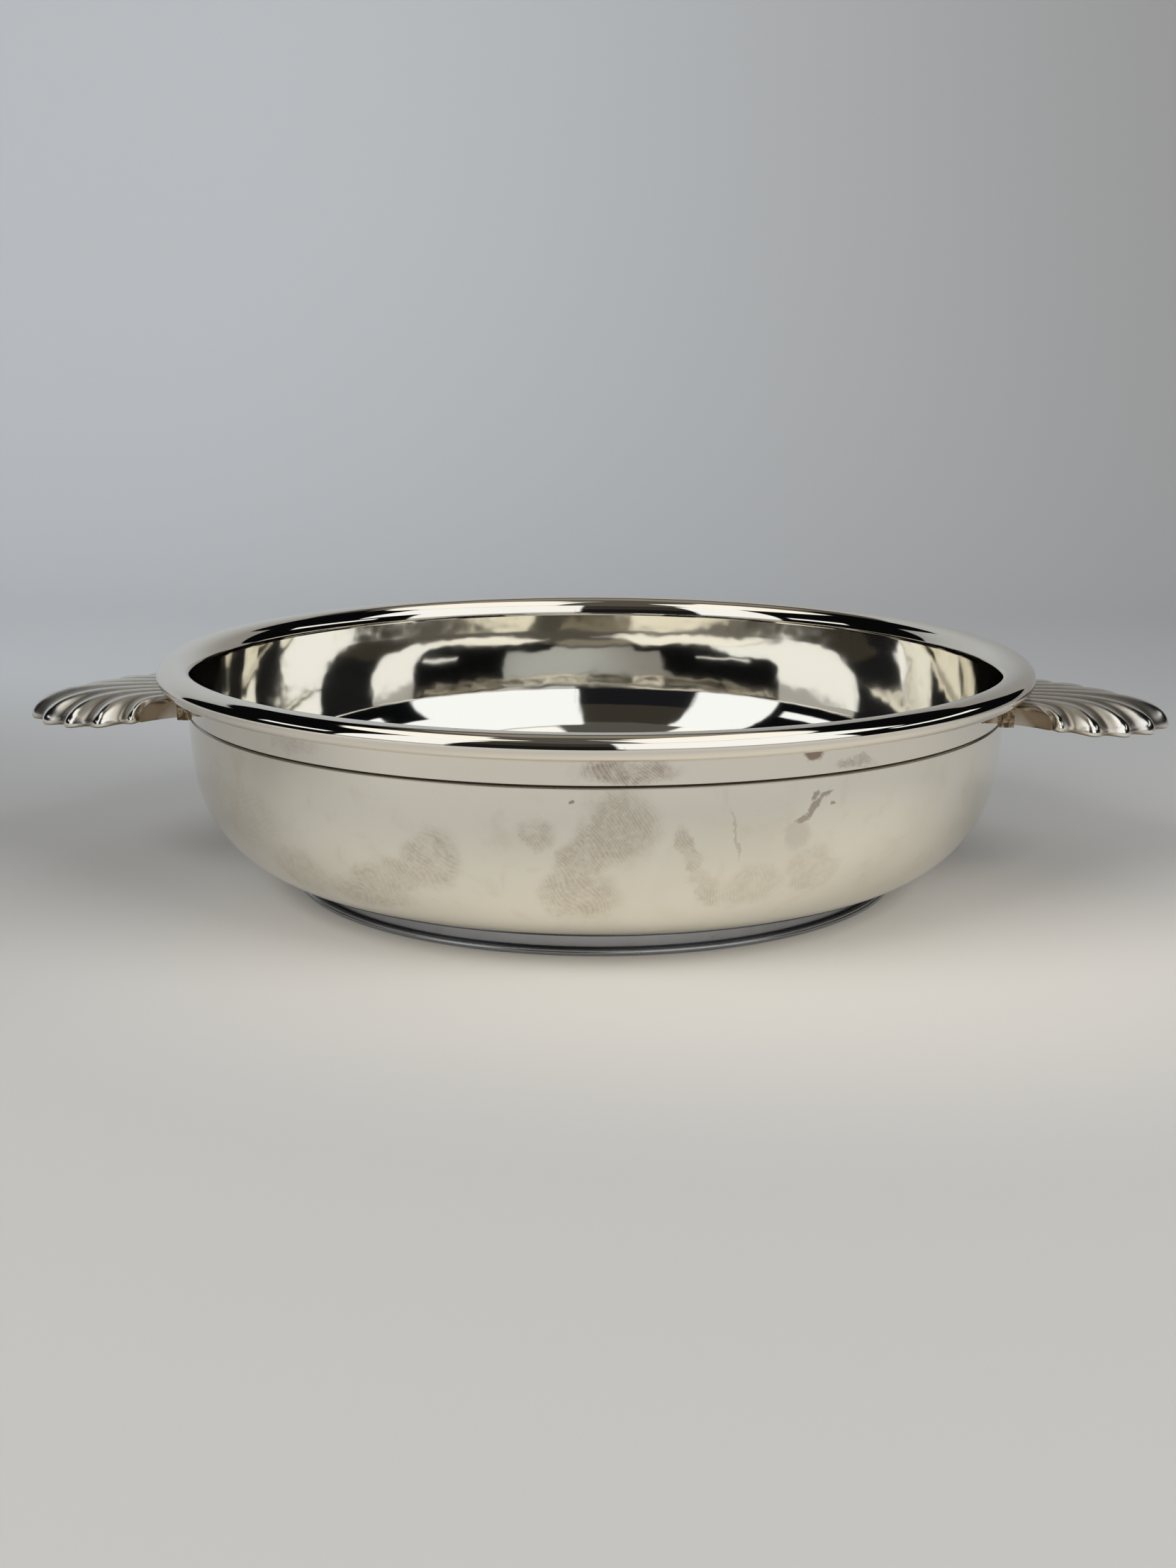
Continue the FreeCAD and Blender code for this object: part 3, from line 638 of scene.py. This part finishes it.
def paper_sweep():
    """Matt paper with a painted pool of light close in front of the bowl, painted shade that greys it
    behind, and a painted shadow to the left.
    """
    material = bpy.data.materials.new("pale_paper_sweep")
    material.use_nodes = True
    tree = material.node_tree
    tree.nodes.clear()
    place = node(tree, "ShaderNodeTexCoord").outputs["Object"]
    parts = node(tree, "ShaderNodeSeparateXYZ", {0: place})
    # Painted shade: the paper greys behind the bowl, darker at the right than at the left.
    behind = node(tree, "ShaderNodeMapRange", {
        "Value": parts.outputs["Y"], "From Min": BACK_STARTS[0], "From Max": BACK_STARTS[1],
        "To Min": 0.0, "To Max": 1.0},
        interpolation_type="SMOOTHSTEP").outputs["Result"]
    across = node(tree, "ShaderNodeMapRange", {
        "Value": parts.outputs["X"], "From Min": BACK_SIDES[0], "From Max": BACK_SIDES[1],
        "To Min": 0.0, "To Max": 1.0},
        interpolation_type="SMOOTHSTEP").outputs["Result"]
    grey = node(tree, "ShaderNodeMix", {
        "Factor": across, 6: linear(BACK_PAPER_LEFT), 7: linear(BACK_PAPER_RIGHT)}, data_type="RGBA")
    # Painted light: a pool of brighter paper close in front of the bowl.
    painted_light_place = node(tree, "ShaderNodeMapping", {
        "Vector": place, "Location": PAINTED_LIGHT_CENTRE, "Scale": PAINTED_LIGHT_REACH}, vector_type="TEXTURE")
    away = node(tree, "ShaderNodeVectorMath", {0: painted_light_place.outputs[0]}, operation="LENGTH")
    apart = node(tree, "ShaderNodeMapRange", {
        "Value": away.outputs["Value"], "From Min": 0.2, "From Max": 1.1, "To Min": 0.0, "To Max": 1.0},
        interpolation_type="SMOOTHSTEP").outputs["Result"]
    front = node(tree, "ShaderNodeMix", {
        "Factor": apart, 6: linear(PAINTED_LIGHT_PAPER), 7: linear(FRONT_PAPER)}, data_type="RGBA")
    tone = node(tree, "ShaderNodeMix", {
        "Factor": behind, 6: front.outputs[2], 7: grey.outputs[2]}, data_type="RGBA")
    # Painted shadow: a darker patch on the paper to the left of the bowl.
    left = node(tree, "ShaderNodeVectorMath", {0: place, 1: PAINTED_SHADOW_CENTRE}, operation="DISTANCE")
    painted_shadow = node(tree, "ShaderNodeMapRange", {
        "Value": left.outputs["Value"], "From Min": PAINTED_SHADOW_EDGES[0], "From Max": PAINTED_SHADOW_EDGES[1],
        "To Min": 0.0, "To Max": 0.5}, interpolation_type="SMOOTHSTEP").outputs["Result"]
    tone = node(tree, "ShaderNodeMix", {
        "Factor": painted_shadow, 6: tone.outputs[2], 7: linear(PAINTED_SHADOW_PAPER)}, data_type="RGBA")
    shader = node(tree, "ShaderNodeBsdfPrincipled", {"Base Color": tone.outputs[2], "Roughness": 0.9})
    node(tree, "ShaderNodeOutputMaterial", {"Surface": shader.outputs[0]})
    return material


def table_and_backdrop(material):
    """A pale table that sweeps up into a pale grey backdrop behind."""
    bm = bmesh.new()
    first = bm.verts.new((-FLOOR_HALF_WIDTH, -FLOOR_DEPTH, 0))
    last = bmesh.ops.extrude_vert_indiv(bm, verts=[first])["verts"][0]
    last.co = (-FLOOR_HALF_WIDTH, SWEEP_START, 0)
    swung = bmesh.ops.spin(bm, geom=[last], cent=(-FLOOR_HALF_WIDTH, SWEEP_START, SWEEP_RADIUS),
                           axis=(1, 0, 0), angle=math.pi / 2, steps=24)["geom_last"]
    top = [item for item in swung if isinstance(item, bmesh.types.BMVert)][0]
    head = bmesh.ops.extrude_vert_indiv(bm, verts=[top])["verts"][0]
    head.co.z += BACKDROP_HEIGHT
    across = bmesh.ops.extrude_edge_only(bm, edges=bm.edges[:])["geom"]
    moved = [item for item in across if isinstance(item, bmesh.types.BMVert)]
    bmesh.ops.translate(bm, vec=(2 * FLOOR_HALF_WIDTH, 0, 0), verts=moved)
    bmesh.ops.recalc_face_normals(bm, faces=bm.faces)
    for face in bm.faces:
        face.smooth = True
    stage_mesh(bm, "table_and_backdrop", material)


def lamp(name, centre, power):
    """A square soft light that faces the bowl."""
    data = bpy.data.lights.new(name, "AREA")
    data.shape = "SQUARE"
    data.size = LAMP_SIZE
    data.energy = power
    thing = bpy.data.objects.new(name, data)
    thing.location = centre
    thing.rotation_mode = "QUATERNION"
    thing.rotation_quaternion = Vector(centre).to_track_quat("Z", "Y")
    thing.visible_camera = False
    thing.visible_glossy = False
    bpy.context.scene.collection.objects.link(thing)


def pale_world():
    """Soft even light, and a pale grey where the camera and reflections look past the sweep."""
    world = bpy.data.worlds.new("pale_studio")
    world.use_nodes = True
    bpy.context.scene.world = world
    tree = world.node_tree
    tree.nodes.clear()
    path = node(tree, "ShaderNodeLightPath")
    seen = node(tree, "ShaderNodeMath", {
        0: path.outputs["Is Camera Ray"], 1: path.outputs["Is Glossy Ray"]}, operation="MAXIMUM")
    seen = node(tree, "ShaderNodeMath", {
        0: seen.outputs[0], 1: path.outputs["Is Transmission Ray"]}, operation="MAXIMUM")
    light = node(tree, "ShaderNodeBackground", {"Color": linear("#F4F4F6"), "Strength": 0.45})
    shown = node(tree, "ShaderNodeBackground", {"Color": linear("#B4B4B6"), "Strength": 1.0})
    mix = node(tree, "ShaderNodeMixShader", {
        0: seen.outputs[0], 1: light.outputs[0], 2: shown.outputs[0]})
    node(tree, "ShaderNodeOutputWorld", {"Surface": mix.outputs[0]})


def camera():
    """The photograph's viewpoint, fitted to the rim, the seam and the foot."""
    photo_height = 2212
    focal_pixels = 2693
    pan = 0.03008
    tilt = -0.228
    roll = 0.0031
    data = bpy.data.cameras.new("camera")
    data.sensor_width = 36
    data.lens = focal_pixels / photo_height * data.sensor_width
    data.clip_start = 0.01
    thing = bpy.data.objects.new("camera", data)
    thing.location = (12.1 * MM, -461.3 * MM, 127.7 * MM)
    ahead = Vector((-math.sin(pan) * math.cos(tilt), math.cos(pan) * math.cos(tilt), math.sin(tilt)))
    across = ahead.cross(Vector((0, 0, 1))).normalized()
    upright = across.cross(ahead)
    right = across * math.cos(roll) + upright * math.sin(roll)
    up = upright * math.cos(roll) - across * math.sin(roll)
    thing.rotation_mode = "QUATERNION"
    thing.rotation_quaternion = Matrix((right, up, -ahead)).transposed().to_quaternion()
    bpy.context.scene.collection.objects.link(thing)
    bpy.context.scene.camera = thing


# Silver plate on the spun body, hand polished. The eye sees a warm bright mirror outside, dulled
# by prints and a dried drip; the inside is cooler and finely scratched; along the shoulder, under
# the collar, a dark brown band is painted shade with a painted reflection in it.
body_plate = metal("polished_silver_plate", "#F0ECDF", 0.035, (
    (cloud_cover, (45, 0.45, 0.75, 0.3), "#D5CCBC", 0.08),
    (cloud_cover, (9, 0.52, 0.8, 0.25), "#C9BBA6", 0.12),
    (mark_cover, (BODY_PRINTS, 5, True), "#B3A48F", 0.2),
    (mark_cover, (BODY_DRIPS, 2, False), "#A89C8E", 0.28),
    # Painted shade and painted reflection: a dark brown band along the shoulder at the seam under the
    # collar.
    (band_cover, (42.35, 43.0, 0.3, 0.6), "#5A4238", 0.4),
    (painted_cover, ("inside", 0.0, 1.0, 1.0), "#F2EFE6", 0.05),
), (12, 0.065, "inside"))
# Silver plate on the turned collar: a bright mirror with prints, a drip, painted shade in the cove under
# the roll and a painted dark line of shade at its lower edge by the seam.
rim_plate = metal("polished_rim_plate", "#F1EBDF", 0.035, (
    (cloud_cover, (30, 0.5, 0.8, 0.25), "#D8CEBD", 0.08),
    (mark_cover, (RIM_PRINTS, 5, True), "#8E7C66", 0.28),
    (mark_cover, (RIM_DRIPS, 2, False), "#8F7C69", 0.35),
    # Painted shade in the cove under the roll.
    (band_cover, (47.9, 48.9, 0.4, 0.3), "#A08A72", 0.2),
    # Painted shade: a near black line along the collar's lower edge at the seam.
    (band_cover, (42.7, 42.95, 0.1, 0.85), "#2A1E18", 0.5),
))
# Silver plate on the turned foot, dulled by rubbing on tables; its dark blue grey is painted shade, with
# painted shade in the groove and under the bowl.
foot_plate = metal("foot_silver_plate", "#A4A7AD", 0.24, (
    (cloud_cover, (12, 0.45, 0.75, 0.5), "#9A9797", 0.34),
    # Painted shade in the groove above the bead.
    (band_cover, (1.45, 1.65, 0.1, 0.8), "#3A3532", 0.5),
    # Painted shadow along the foot's top, under the bowl.
    (band_cover, (4.2, 4.8, 0.3, 0.8), "#4A4541", 0.5),
))
# Cast silver plated handles: satin on top, rubbed bright at the ribs' ends, brown in the flutes.
cast_plate = metal("cast_silver_satin", "#E9E4DA", 0.31, (
    (cloud_cover, (3, 0.45, 0.8, 0.35), "#B8AB98", 0.36),
    (painted_cover, ("tarnish", 0.3, 1.0, 0.86), "#735C3B", 0.38),
    (painted_cover, ("polish", 0.3, 0.9, 0.85), "#F3EFE6", 0.13),
))
# Plated soft solder, run on by hand: uneven and browned in patches.
solder = metal("silver_solder", "#A99A80", 0.34, (
    (cloud_cover, (1.5, 0.35, 0.6, 0.9), "#4E3B26", 0.45),
))

bowl_body(body_plate)
rim_collar(rim_plate)
foot_ring(foot_plate)
shell_handle(1, cast_plate)
shell_handle(-1, cast_plate)
for name in ("foot_solder", "right_handle_solder", "left_handle_solder"):
    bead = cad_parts[name]
    bead.data.materials.clear()
    bead.data.materials.append(solder)

table_and_backdrop(paper_sweep())
glows = {name: emission(name, *glow) for name, glow in GLOWS.items()}
for name, azimuths, elevations, glow, share in CARDS:
    card(name, azimuths, elevations, glows[glow], CARD_DISTANCE * share)
lamp("left_light", (-1.15, -0.95, 0.95), 20.5)
lamp("right_light", (1.35, -0.85, 0.95), 21)
pale_world()
camera()
bpy.context.scene.view_settings.view_transform = "Standard"
